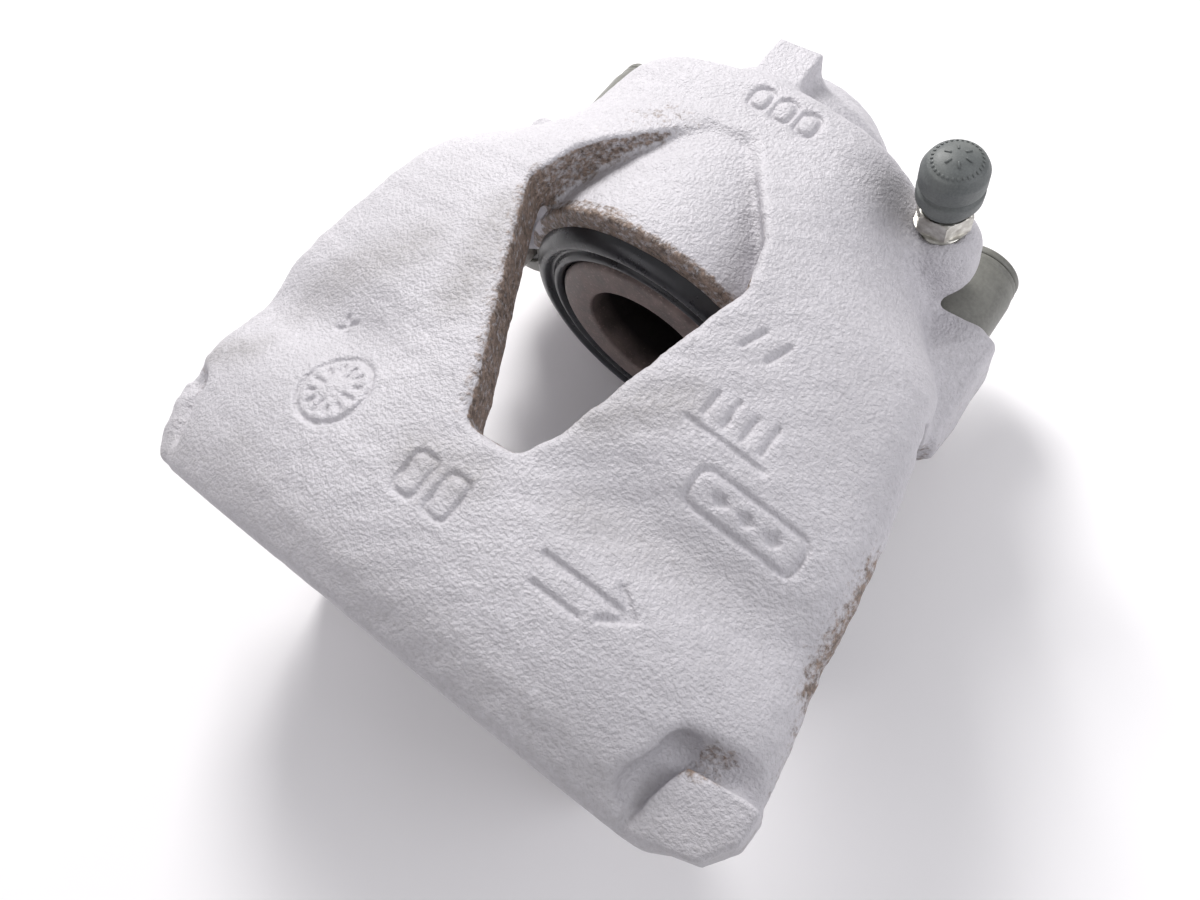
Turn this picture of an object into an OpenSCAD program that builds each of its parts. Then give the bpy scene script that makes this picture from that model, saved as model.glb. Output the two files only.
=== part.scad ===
// Floating single-piston brake caliper for a ventilated disc.
// Work frame of the modules: origin on the piston axis at the cylinder's front face,
// X along the pad, -Y towards the fingers (outboard), +Y towards the closed end, Z up to the bridge.
// place() moves the finished parts so that the model stands on Z = 0, centred in X and Y.

/* [Cylinder] */
// Piston diameter
piston_d = 54; // [48:1:57]
// Outside diameter of the cylinder barrel
barrel_d = 76; // [74:1:80]
// Length from the cylinder's front face to its closed end
barrel_len = 75; // [70:1:84]
// Wall between the piston bore and the closed end
end_wall = 12; // [9:1:14]
// Piston length
piston_len = 52; // [46:1:54]
// How far the piston's face stands out of the cylinder at rest
piston_proud = 4.6; // [3:0.1:6]
// Diameter of the hollow in the piston
piston_hollow_d = 35.5; // [30:0.5:38]

/* [Bridge] */
// Largest width of the bridge, at its outboard corners
bridge_w = 166; // [150:1:172]
// Height of the bridge's crown above the piston axis
crown_h = 46; // [44:1:50]
// Thickness of the bridge over the disc
bridge_t = 13.5; // [11:0.5:15]
// Gap for the disc and pads, from the cylinder face to the fingers
pad_gap = 71; // [66:1:74]
// Thickness of the finger plate
finger_t = 26; // [20:1:28]
// Radius of the bridge's arch about the disc's axis
arch_r = 172; // [160:1:185]
// Width of the V window next to the cylinder
window_w = 50; // [40:1:54]
// Distance from the cylinder face to the window's outboard end
window_len = 53; // [44:1:56]
// Radius of the window's outboard end
window_r = 10; // [7:0.5:11]

/* [Fingers] */
// Width of the opening between the two fingers
finger_gap_w = 42; // [34:1:50]
// Width over both fingers
fingers_w = 128; // [116:1:134]
// Height of the opening's top above the piston axis
finger_gap_top = 14; // [8:1:18]

/* [Guides] */
// Distance between the two guide pins
guide_spacing = 108; // [106:1:112]
// Height of the guide pins relative to the piston axis
guide_h = -8; // [-12:1:-4]
// Outside diameter of the guide ears
ear_d = 29; // [28:1:31]
// Bore through each ear
ear_bore_d = 22; // [21:0.5:22.5]
// Diameter of the guide pins
pin_d = 11.5; // [10:0.5:12]
// How far the right bush stands out behind its ear
right_bush_out = 22; // [16:1:24]
// How far the left bush stands out behind its ear
left_bush_out = 31; // [20:1:34]

/* [Bleed screw] */
// Distance of the bleed screw from the piston axis, sideways
bleed_x = 47; // [45:1:49]
// Distance of the bleed screw behind the cylinder face
bleed_y = 43.5; // [40:0.5:46]
// Diameter of the screw's thread
bleed_d = 10; // [8:1:10]
// Width across the flats of the hexagon
bleed_hex = 11; // [9:1:12]

/* [Hidden] */
$fn = 64;

piston_r = piston_d / 2;
barrel_r = barrel_d / 2;
front_y = -pad_gap - finger_t;
mid_y = (front_y + barrel_len) / 2;
bridge_back_y = 14;
arch_z = crown_h - arch_r;
half_w = bridge_w / 2;
guide_x = guide_spacing / 2;
slip = 0.05;
eps = 0.01;

// sideways offset of the window's outboard end
window_end_x = 5;
// end of the sunken floor behind the window
valley_tip_y = 34;
valley_tip_w = 10;

// ear and guide lengths along Y
ear_y0 = 10;
ear_y1 = 36;
liner_wall = 1.4;
bush_r = 12;
bush_room_r = 13.8;
head_room_r = 9.2;
cap_t = 1.6;

// guide pin: threaded end, shoulder and socket head
pin_tip_y = -14;
pin_shoulder_y = 2;
pin_thread_r = 4.5;
head_y = 40;
head_len = 5;
head_r = 8;
socket_d = 8;

// seal and boot grooves
seal_y = 9;
seal_w = 3.4;
seal_depth = 3;
boot_seat_r = 34;
boot_seat_depth = 4;
boot_flange_r = 36;
groove_r = 24.4;
groove_w = 2.6;
lip_y = 1.2;
ring_r0 = 30.2;
ring_r1 = 31.4;

// raised crown of the barrel between the arms
crown_y = 34;
crown_lift = 3.5;

// the barrel narrows towards its closed end, under a square datum pad
taper_y = 42;
tail_y = 64;
tail_r = 33;
end_r = 23;
pad_top = 34.5;

// bleed screw heights
boss_top = 25;
boss_r = 9.5;
boss_low = 14;
screw_low = 12;
passage_z = 8.5;
passage_r = 1.5;
hex_h = 5;
nipple_r = 3.6;
nipple_h = 10;
cap_r = 7;
cap_h = 15;

silver = [0.80, 0.79, 0.81];
steel = [0.45, 0.42, 0.40];
zinc = [0.66, 0.66, 0.64];
black = [0.09, 0.09, 0.10];
grey_rubber = [0.36, 0.37, 0.37];
olive = [0.38, 0.38, 0.34];

module place() translate([0, -mid_y, barrel_r]) children();

// a cylinder that runs along +Y from y0 to y1
module rod_y(r, y0, y1, x = 0, z = 0) {
    translate([x, y0, z]) rotate([-90, 0, 0]) cylinder(r = r, h = y1 - y0);
}

// a ring that runs along Y
module ring_y(r_out, r_in, y0, y1, x = 0, z = 0) {
    difference() {
        rod_y(r_out, y0, y1, x, z);
        rod_y(r_in, y0 - 1, y1 + 1, x, z);
    }
}

// turns a profile drawn as [radius, y] about the Y axis
module turned_y(x = 0, z = 0) {
    translate([x, 0, z]) rotate([-90, 0, 0]) rotate_extrude() children();
}

// ---- housing ----

// half of the bridge's outline seen from above, and its mirror image
side = [[58, front_y], [72, front_y + 3.5], [half_w - 1, front_y + 11], [half_w, front_y + 17],
    [77, -46], [74.5, -26], [71, -9], [66, 9], [57, 29], [50, 41]];
module bridge_outline() {
    polygon(concat(side, [for (i = [len(side) - 1 : -1 : 0]) [-side[i][0], side[i][1]]]));
}

module window_outline() {
    end_y = -window_len + window_r;
    hull() {
        translate([window_end_x, end_y]) circle(r = window_r, $fn = 32);
        translate([-window_w / 2, -2]) square([window_w, 2]);
    }
}

// the sunken floor behind the window, where the barrel shows between the arms
module valley_outline() {
    polygon([[-window_w / 2, -2 - eps], [window_w / 2, -2 - eps], [valley_tip_w / 2, valley_tip_y],
        [-valley_tip_w / 2, valley_tip_y]]);
}

// the arched band over the disc, cut to the outline
module bridge() {
    intersection() {
        difference() {
            rod_y(arch_r, front_y, bridge_back_y, 0, arch_z);
            rod_y(arch_r - bridge_t, front_y + finger_t - 1, 50, 0, arch_z);
            rod_y(arch_r - 30, front_y - 1, 50, 0, arch_z);
        }
        translate([0, 0, -60]) linear_extrude(120) difference() {
            bridge_outline();
            valley_outline();
        }
    }
}

// the plate with the two fingers that bear on the outboard pad
module fingers() {
    difference() {
        intersection() {
            translate([-fingers_w / 2, front_y, -barrel_r]) cube([fingers_w, finger_t, 100]);
            rod_y(arch_r, front_y - 1, 0, 0, arch_z);
            fingers_sides();
        }
        hull() {
            translate([-finger_gap_w / 2, front_y - 1, -barrel_r - 1]) cube([finger_gap_w, finger_t + 2, 1]);
            rod_y(finger_gap_w / 2 - 4, front_y - 1, front_y + finger_t + 1,
                0, finger_gap_top - finger_gap_w / 2 + 4);
        }
    }
}

module fingers_sides() {
    tip = fingers_w / 2 - 12;
    rotate([90, 0, 0]) translate([0, 0, -front_y - finger_t - 1])
        linear_extrude(finger_t + 2)
            polygon([[-tip, -barrel_r], [tip, -barrel_r], [fingers_w / 2, 0], [fingers_w / 2, 60],
                [-fingers_w / 2, 60], [-fingers_w / 2, 0]]);
}

module barrel() {
    rod_y(barrel_r, 0, taper_y);
    rod_y(barrel_r, 0, crown_y, 0, crown_lift);
    translate([0, taper_y, 0]) rotate([-90, 0, 0])
        cylinder(r1 = barrel_r, r2 = tail_r, h = tail_y - taper_y);
    translate([0, tail_y, 0]) rotate([-90, 0, 0])
        cylinder(r1 = tail_r, r2 = end_r, h = barrel_len - tail_y);
    translate([-8, 51.5, 0]) cube([12, 13.5, pad_top]);
}

// one arm from the bridge's corner back to the barrel, on the side given by s
module arm(s) {
    hull() {
        translate([s * 42, 12, 22]) sphere(r = 11, $fn = 28);
        translate([s * 60, 10, 18]) sphere(r = 8, $fn = 28);
        translate([s * 26, 44, 20]) sphere(r = 11, $fn = 28);
        translate([s * 46, 28, 6]) sphere(r = 9, $fn = 28);
    }
}

module ear(s) {
    rod_y(ear_d / 2, ear_y0, ear_y1, s * guide_x, guide_h);
    translate([s * (guide_x + barrel_r) / 2 - 14, ear_y0, guide_h - 8]) cube([28, ear_y1 - ear_y0, 22]);
}

module bleed_boss() {
    translate([bleed_x, bleed_y, boss_low]) cylinder(r = boss_r, h = boss_top - boss_low);
    translate([bleed_x, bleed_y, boss_low]) sphere(r = boss_r);
    translate([22, bleed_y - 7, 5]) cube([bleed_x - 22, 14, 14]);
}

module corner_scoop(s) {
    translate([s * 72, -86, 42]) sphere(r = 13);
}

module housing_bores() {
    rod_y(piston_r, -5, barrel_len - end_wall);
    rod_y(piston_r + seal_depth, seal_y, seal_y + seal_w);
    rod_y(boot_seat_r, -5, boot_seat_depth);
    rod_y(4.5, barrel_len - end_wall - 1, barrel_len + 1, -12, -10);
    for (s = [-1, 1]) {
        rod_y(ear_bore_d / 2, ear_y0 - 1, ear_y1 + 1, s * guide_x, guide_h);
        rod_y(bush_room_r, ear_y1, barrel_len, s * guide_x, guide_h);
        rod_y(bush_room_r, -1, ear_y0, s * guide_x, guide_h);
    }
    translate([bleed_x, bleed_y, screw_low]) cylinder(r = bleed_d / 2, h = 30);
    translate([bleed_x, bleed_y, passage_z - passage_r])
        cylinder(r1 = passage_r, r2 = bleed_d / 2 - 1, h = screw_low - passage_z + passage_r + eps);
    translate([bleed_x, bleed_y, passage_z]) rotate([0, -90, 0]) cylinder(r = passage_r, h = bleed_x - 20);
}

module housing() {
    color(silver) place() difference() {
        union() {
            bridge();
            fingers();
            barrel();
            arm(-1);
            arm(1);
            ear(-1);
            ear(1);
            bleed_boss();
        }
        translate([0, 0, -1]) linear_extrude(100) window_outline();
        rod_y(arch_r - bridge_t, front_y + finger_t, 0, 0, arch_z);
        housing_bores();
        corner_scoop(-1);
        corner_scoop(1);
    }
}

// ---- piston, seal and boot ----

// a steel cup with a groove behind its face for the boot's lip
module piston() {
    face = -piston_proud;
    r = piston_r - slip;
    color(steel) place() difference() {
        union() {
            rod_y(r, face + 1, face + piston_len - 2);
            translate([0, face, 0]) rotate([-90, 0, 0]) cylinder(r1 = r - 1, r2 = r, h = 1);
            translate([0, face + piston_len - 2, 0]) rotate([-90, 0, 0])
                cylinder(r1 = r, r2 = r - 2, h = 2);
        }
        rod_y(piston_hollow_d / 2, face - 1, face + piston_len - 10);
        ring_y(piston_r + 1, groove_r, face + lip_y, face + lip_y + groove_w);
    }
}

module piston_seal() {
    color(black) place()
        ring_y(piston_r + seal_depth - 0.1, piston_r, seal_y + 0.1, seal_y + seal_w - 0.1);
}

// one closed profile: bead in its seat, fold over the face, lip in the piston's groove
module dust_boot() {
    lip0 = -piston_proud + lip_y + 0.15;
    lip1 = lip0 + groove_w - 0.3;
    bead = boot_seat_r - 0.15;
    color(black) place() turned_y() polygon([
        [bead, 3.6], [bead, 0.3], [boot_flange_r, -0.3], [boot_flange_r, -1.4],
        [32.6, -4.4], [30.4, -4.8], [28.6, -3.6], [27.2, -3.4], [27.2, lip0],
        [groove_r + 0.15, lip0], [groove_r + 0.15, lip1], [26.9, lip1],
        [28.6, -1.8], [30.6, -3.4], [31.8, -3.2], [32.2, -1.2], [28.2, 0.3], [28.2, 3.6],
        [ring_r0 - 0.1, 3.6], [ring_r0 - 0.1, 1.2], [ring_r1 + 0.1, 1.2], [ring_r1 + 0.1, 3.6]]);
}

// the steel ring that stiffens the boot's bead
module boot_ring() {
    color(zinc) place() ring_y(ring_r1, ring_r0, 1.3, 3.6);
}

// ---- guides ----

function bush_end(s) = ear_y1 + (s < 0 ? left_bush_out : right_bush_out);

// the rubber bush: plain in the ear, a tapered sleeve behind it, hollow for the pin's head
module guide_bush(s) {
    end = bush_end(s);
    r_in = pin_d / 2 + slip + liner_wall + 0.02;
    color(olive) place() difference() {
        union() {
            rod_y(ear_bore_d / 2 - slip, ear_y0 - 3, ear_y1 + 0.2, s * guide_x, guide_h);
            rod_y(ear_bore_d / 2 + 1.5, ear_y0 - 4, ear_y0 - 0.2, s * guide_x, guide_h);
            translate([s * guide_x, ear_y1 + 0.2, guide_h]) rotate([-90, 0, 0])
                cylinder(r1 = bush_r + 1.2, r2 = bush_r, h = end - ear_y1 - 0.2);
        }
        rod_y(r_in, ear_y0 - 6, end + 1, s * guide_x, guide_h);
        rod_y(head_room_r, ear_y1 + 1.5, end + 1, s * guide_x, guide_h);
    }
}

// the hard liner that the pin slides in
module guide_liner(s) {
    color(black) place()
        ring_y(pin_d / 2 + slip + liner_wall, pin_d / 2 + slip, ear_y0 - 3, ear_y1 + 1.4,
            s * guide_x, guide_h);
}

// the guide pin: shank, threaded end towards the carrier, socket head inside the bush
module guide_pin(s) {
    color(zinc) place() difference() {
        union() {
            rod_y(pin_thread_r, pin_tip_y, pin_shoulder_y, s * guide_x, guide_h);
            rod_y(pin_d / 2, pin_shoulder_y, head_y, s * guide_x, guide_h);
            rod_y(head_r, head_y, head_y + head_len, s * guide_x, guide_h);
        }
        translate([s * guide_x, head_y + 1, guide_h]) rotate([-90, 0, 0])
            cylinder(d = socket_d, h = head_len, $fn = 6);
    }
}

// the push-in cap that closes the bush
module guide_cap(s) {
    end = bush_end(s);
    color(olive) place() difference() {
        union() {
            rod_y(bush_r - 0.1, end + 0.2, end + cap_t, s * guide_x, guide_h);
            translate([s * guide_x, end + cap_t, guide_h]) rotate([-90, 0, 0])
                cylinder(r1 = bush_r - 0.1, r2 = bush_r - 0.9, h = 0.8);
            rod_y(head_room_r - slip, end - 2, end + 0.3, s * guide_x, guide_h);
        }
        rod_y(head_room_r - 2, end - 3, end - 0.5, s * guide_x, guide_h);
    }
}

// ---- bleed screw ----

module bleed_screw() {
    color(zinc) place() translate([bleed_x, bleed_y, 0]) difference() {
        union() {
            translate([0, 0, screw_low - 4.2]) cylinder(r1 = 1, r2 = bleed_d / 2 - 1.4, h = 4.4 + eps);
            translate([0, 0, screw_low + 0.2])
                cylinder(r = bleed_d / 2 - slip, h = boss_top - screw_low - 0.2);
            translate([0, 0, boss_top - eps]) cylinder(r = bleed_d / 2 - 0.6, h = 1.5);
            translate([0, 0, boss_top + 1]) cylinder(d = bleed_hex / cos(30), h = hex_h, $fn = 6);
            translate([0, 0, boss_top + 1 + hex_h]) cylinder(r = nipple_r - 0.4, h = nipple_h);
            translate([0, 0, boss_top + hex_h + nipple_h - 2.5])
                cylinder(r1 = nipple_r, r2 = nipple_r - 0.8, h = 3);
        }
        translate([0, 0, screw_low + 2]) cylinder(r = 1, h = 50);
        translate([-bleed_d, 0, screw_low + 3]) rotate([0, 90, 0]) cylinder(r = 1, h = 2 * bleed_d);
    }
}

// the rubber cap over the nipple
module bleed_cap() {
    z0 = boss_top + 1 + hex_h + 0.3;
    color(grey_rubber) place() translate([bleed_x, bleed_y, z0]) difference() {
        union() {
            cylinder(r = cap_r - 1.2, h = 2);
            translate([0, 0, 2]) cylinder(r = cap_r, h = cap_h - 6);
            translate([0, 0, cap_h - 4]) cylinder(r1 = cap_r, r2 = cap_r - 2, h = 3);
            translate([0, 0, cap_h - 1]) cylinder(r = cap_r - 2.3, h = 1);
        }
        translate([0, 0, -1]) cylinder(r = nipple_r + 0.1, h = nipple_h + 2.2);
    }
}

housing();
piston();
piston_seal();
dust_boot();
boot_ring();
guide_bush(-1);  // guide_bush_left
guide_bush(1);  // guide_bush_right
guide_liner(-1);  // guide_liner_left
guide_liner(1);  // guide_liner_right
guide_pin(-1);  // guide_pin_left
guide_pin(1);  // guide_pin_right
guide_cap(-1);  // guide_cap_left
guide_cap(1);  // guide_cap_right
bleed_screw();
bleed_cap();
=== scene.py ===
"""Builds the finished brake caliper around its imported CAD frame, as a Blender add-on."""

import math

import bmesh
import bpy
import numpy as np
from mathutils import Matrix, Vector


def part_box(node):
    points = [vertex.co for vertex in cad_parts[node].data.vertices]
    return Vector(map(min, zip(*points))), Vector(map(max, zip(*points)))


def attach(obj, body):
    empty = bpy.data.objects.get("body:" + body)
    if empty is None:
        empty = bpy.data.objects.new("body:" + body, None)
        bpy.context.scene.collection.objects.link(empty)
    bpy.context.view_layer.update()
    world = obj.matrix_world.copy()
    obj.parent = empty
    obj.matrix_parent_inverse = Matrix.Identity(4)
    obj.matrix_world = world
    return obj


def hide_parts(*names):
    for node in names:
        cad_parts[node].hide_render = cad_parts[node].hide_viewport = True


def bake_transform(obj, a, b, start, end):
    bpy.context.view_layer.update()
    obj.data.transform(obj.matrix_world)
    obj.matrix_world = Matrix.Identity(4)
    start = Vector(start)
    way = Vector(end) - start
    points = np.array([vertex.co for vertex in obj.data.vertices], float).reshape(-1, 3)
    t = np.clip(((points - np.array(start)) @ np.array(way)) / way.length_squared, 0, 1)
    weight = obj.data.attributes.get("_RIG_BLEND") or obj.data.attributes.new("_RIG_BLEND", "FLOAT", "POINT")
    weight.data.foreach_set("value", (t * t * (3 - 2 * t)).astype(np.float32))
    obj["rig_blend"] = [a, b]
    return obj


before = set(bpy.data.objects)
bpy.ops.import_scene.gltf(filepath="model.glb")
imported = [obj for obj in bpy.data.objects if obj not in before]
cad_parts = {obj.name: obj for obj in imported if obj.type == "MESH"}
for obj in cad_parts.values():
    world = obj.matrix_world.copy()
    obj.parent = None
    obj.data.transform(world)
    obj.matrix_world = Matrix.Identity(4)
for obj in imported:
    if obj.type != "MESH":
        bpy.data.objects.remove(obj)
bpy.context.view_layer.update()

import openvdb
from bpy.props import FloatProperty, FloatVectorProperty, IntProperty, PointerProperty
from mathutils import Matrix, Vector

bl_info = {
    "name": "Brake caliper",
    "version": (1, 0, 0),
    "blender": (4, 5, 0),
    "location": "3D View > Sidebar > Caliper",
    "description": "Builds a floating disc brake caliper around its packed frame",
    "category": "Object",
}

MM = 0.001
CAMERA_PLACE = (92.0, -90.3, 202.1)     # from the centre of the cylinder's face, in millimetres
CAMERA_TURN = (56.26, 63.17, -20.74)    # azimuth, elevation and roll, in degrees
CAMERA_LENS = 29.07                     # in millimetres


# ---------------------------------------------------------------- frame

def span(node):
    """Low and high corner of a frame node, in millimetres."""
    low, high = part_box(node)
    return np.array(low) / MM, np.array(high) / MM


def middle(node):
    low, high = span(node)
    return (low + high) / 2


HOUSING_LOW, HOUSING_HIGH = span("housing")
AXIS_Z = middle("piston")[2]                    # height of the piston's axis
PISTON_LOW, PISTON_HIGH = span("piston")
PISTON_R = (PISTON_HIGH[0] - PISTON_LOW[0]) / 2
FACE_PROUD = 4.6                                # how far the piston stands out at rest
SEAT_Y = PISTON_LOW[1] + FACE_PROUD             # the cylinder's front face
BARREL_R = AXIS_Z - HOUSING_LOW[2]
ORIGIN = np.array([0.0, SEAT_Y, AXIS_Z])        # where the piston's axis meets that face
FRONT = HOUSING_LOW[1] - SEAT_Y                 # outboard end, measured from the face
BACK = HOUSING_HIGH[1] - SEAT_Y
HALF_W = HOUSING_HIGH[0]
CROWN = HOUSING_HIGH[2] - AXIS_Z
ARCH_R = 172.0                                  # radius of the bridge's arch
ARCH_Z = CROWN - ARCH_R
GUIDE_X = middle("guide_pin_right")[0]
GUIDE_Z = middle("guide_pin_right")[2] - AXIS_Z
BLEED_X, BLEED_Y = middle("bleed_cap")[0], middle("bleed_cap")[1] - SEAT_Y


# ---------------------------------------------------------------- settings

class CaliperSizes(bpy.types.PropertyGroup):
    """Sizes of the casting's surface"""

    voxel: FloatProperty(
        name="Voxel", description="Grid step of the cast surface, in millimetres",
        default=0.5, min=0.4, max=3.0)
    blend: FloatProperty(
        name="Blend radius", description="Radius where cast shapes run together, in millimetres",
        default=6.0)
    rim_round: FloatProperty(
        name="Edge round", description="Radius of the roll-over at the bridge's rim, in millimetres",
        default=9.0)
    mark_depth: FloatProperty(
        name="Mark depth", description="Depth of the engraved foundry marks, in millimetres",
        default=0.85)
    triangles: IntProperty(
        name="Triangles", description="Most triangles kept on the casting",
        default=190000, min=20000)


def swatch(name, description, default):
    return FloatVectorProperty(
        name=name, description=description, subtype="COLOR", default=default, min=0.0, max=1.0)


class CaliperColours(bpy.types.PropertyGroup):
    """Colours of the finishes"""

    paint: swatch("Paint", "Silver-white coat of the casting", (0.60, 0.585, 0.62))
    # this brown also paints shade in hollows, under overhangs and on steep faces
    grime_and_painted_shade: swatch("Grime and painted shade", "Brown dirt in the hollows", (0.17, 0.13, 0.108))
    steel: swatch("Piston steel", "Dull steel of the piston", (0.16, 0.125, 0.115))
    rubber: swatch("Boot rubber", "Black rubber of boot and seal", (0.013, 0.014, 0.018))
    cap: swatch("Bleed cap rubber", "Grey rubber of the bleed cap", (0.11, 0.12, 0.12))
    bush: swatch("Bush rubber", "Olive-grey rubber of the guide bushes", (0.15, 0.15, 0.135))


def sizes():
    return bpy.context.scene.caliper_sizes


def colours():
    return bpy.context.scene.caliper_colours


# ---------------------------------------------------------------- distance fields

def smooth_min(a, b, k):
    """Union of two distance fields, blended over k."""
    h = np.clip(0.5 + 0.5 * (b - a) / k, 0.0, 1.0)
    return b + (a - b) * h - k * h * (1.0 - h)


def smooth_max(a, b, k):
    return -smooth_min(-a, -b, k)


def ease(t):
    t = np.clip(t, 0.0, 1.0)
    return t * t * (3.0 - 2.0 * t)


def polygon_distance(x, y, points):
    """Signed distance in the plane to a closed outline, negative inside."""
    best = None
    inside = np.zeros(np.broadcast(x, y).shape, bool)
    for (ax, ay), (bx, by) in zip(points, points[1:] + points[:1]):
        ex, ey = bx - ax, by - ay
        t = np.clip(((x - ax) * ex + (y - ay) * ey) / (ex * ex + ey * ey), 0.0, 1.0)
        d = (x - ax - t * ex) ** 2 + (y - ay - t * ey) ** 2
        best = d if best is None else np.minimum(best, d)
        if ey != 0.0:
            crosses = ((ay > y) != (by > y)) & (x < ex * (y - ay) / ey + ax)
            inside ^= crosses
    return np.where(inside, -1.0, 1.0) * np.sqrt(best)


def rod(a, b, r0, r1, x, y, z):
    """Distance to a rod with round ends from a to b, its radius running from r0 to r1."""
    ax, ay, az = a
    ex, ey, ez = b[0] - ax, b[1] - ay, b[2] - az
    length2 = ex * ex + ey * ey + ez * ez
    t = np.clip(((x - ax) * ex + (y - ay) * ey + (z - az) * ez) / length2, 0.0, 1.0)
    d = np.sqrt((x - ax - t * ex) ** 2 + (y - ay - t * ey) ** 2 + (z - az - t * ez) ** 2)
    return d - (r0 + (r1 - r0) * t)


def drum(r, low, high, x, y, z, edge=0.0):
    """Distance to a drum along Y whose edges have that radius."""
    across = np.sqrt(x * x + z * z) - (r - edge)
    along = np.abs(y - (low + high) / 2) - ((high - low) / 2 - edge)
    outside = np.sqrt(np.maximum(across, 0.0) ** 2 + np.maximum(along, 0.0) ** 2)
    return outside + np.minimum(np.maximum(across, along), 0.0) - edge


def block(low, high, x, y, z, edge=0.0):
    """Distance to a box between two corners whose edges have that radius."""
    parts = []
    for value, a, b in zip((x, y, z), low, high):
        parts.append(np.abs(value - (a + b) / 2) - ((b - a) / 2 - edge))
    outside = np.sqrt(sum(np.maximum(p, 0.0) ** 2 for p in parts))
    return outside + np.minimum(np.maximum(np.maximum(parts[0], parts[1]), parts[2]), 0.0) - edge


# ---------------------------------------------------------------- casting

FRONT_EDGE = [
    (0.0, FRONT + 1.0), (57.0, FRONT + 1.0), (70.0, FRONT + 2.2), (77.8, FRONT + 4.6),
    (82.2, FRONT + 11.0), (HALF_W - 0.5, FRONT + 18.0)]
SIDE_EDGE = [
    (77.5, -44.0), (74.8, -26.0), (71.0, -9.0), (66.0, 10.0), (57.0, 27.0), (50.0, 40.0),
    (36.0, 50.0), (0.0, 54.0)]
LEFT_CORNER = [
    (-75.5, FRONT + 18.0), (-74.8, FRONT + 12.0), (-71.0, FRONT + 7.0), (-65.0, FRONT + 3.0),
    (-56.0, FRONT + 1.0)]
WINDOW_END = (6.6, -46.3)
WINDOW_ROUND = 4.0
WINDOW_HALF = 26.5
WINDOW_TOP = -2.0
VALLEY_TIP = 35.0
BRIDGE_T = 13.5
FINGER_T = 26.0
FIELD_MARGIN = 2.5      # room round the casting in its grid


def plan_outline():
    """The bridge's outline seen from above; its left outboard corner is blunter than the right one."""
    left = [(-x, y) for x, y in reversed(SIDE_EDGE) if x > 0.0]
    return FRONT_EDGE + SIDE_EDGE + left + LEFT_CORNER


def arch(x):
    return ARCH_Z + np.sqrt(np.maximum(ARCH_R ** 2 - x * x, 1.0))


def top_height(x, y):
    """Height of the bridge's upper surface."""
    side = np.abs(x)
    height = arch(x) - 0.4
    back = ease(y / 40.0)
    height = height - 6.5 * back
    height = height - (0.004 + 0.020 * back) * np.maximum(side - 22.0, 0.0) ** 2 * ease((y + 12.0) / 40.0)
    front = np.maximum(-70.0 - y, 0.0)
    height = height - 0.0078 * front ** 2
    swale = np.exp(-((y + 50.0 + 0.05 * side) / 9.5) ** 2) * ease((side - 12.0) / 26.0)
    height = height - 3.7 * swale
    crest = np.exp(-((side - 22.0 + 0.25 * y) / 9.0) ** 2)
    crest = crest * ease((y + 50.0) / 30.0) * ease((40.0 - y) / 30.0)
    return height + 0.5 * crest


def bottom_height(x, y):
    """Height of the bridge's under surface, which runs down into the arms behind the cylinder face."""
    return arch(x) - BRIDGE_T - 34.0 * ease((y + 1.0) / 12.0)


def kite(x, y):
    """Distance to the opening of the window and the sunken floor behind it."""
    ex, ey = WINDOW_END
    window = polygon_distance(x, y, [
        (ex - 6.0, ey + 0.5), (ex - 3.5, ey - 5.0), (ex + 3.5, ey - 5.0), (ex + 6.0, ey + 0.5),
        (WINDOW_HALF - 3.0, WINDOW_TOP), (WINDOW_HALF - 6.0, 8.0),
        (4.0, VALLEY_TIP - 6.0), (-2.0, VALLEY_TIP - 6.0),
        (6.0 - WINDOW_HALF, 8.0), (3.0 - WINDOW_HALF, WINDOW_TOP)])
    return window - WINDOW_ROUND


def bar(x, y, x0, y0, x1, y1, width):
    """Distance to a straight stroke."""
    ex, ey = x1 - x0, y1 - y0
    t = np.clip(((x - x0) * ex + (y - y0) * ey) / (ex * ex + ey * ey), 0.0, 1.0)
    return np.sqrt((x - x0 - t * ex) ** 2 + (y - y0 - t * ey) ** 2) - width / 2


def frame_line(x, y, cx, cy, w, h, corner, width):
    """Distance to the line of a rounded rectangle."""
    dx = np.abs(x - cx) - (w / 2 - corner)
    dy = np.abs(y - cy) - (h / 2 - corner)
    outside = np.sqrt(np.maximum(dx, 0.0) ** 2 + np.maximum(dy, 0.0) ** 2)
    d = outside + np.minimum(np.maximum(dx, dy), 0.0) - corner
    return np.abs(d) - width / 2


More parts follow.
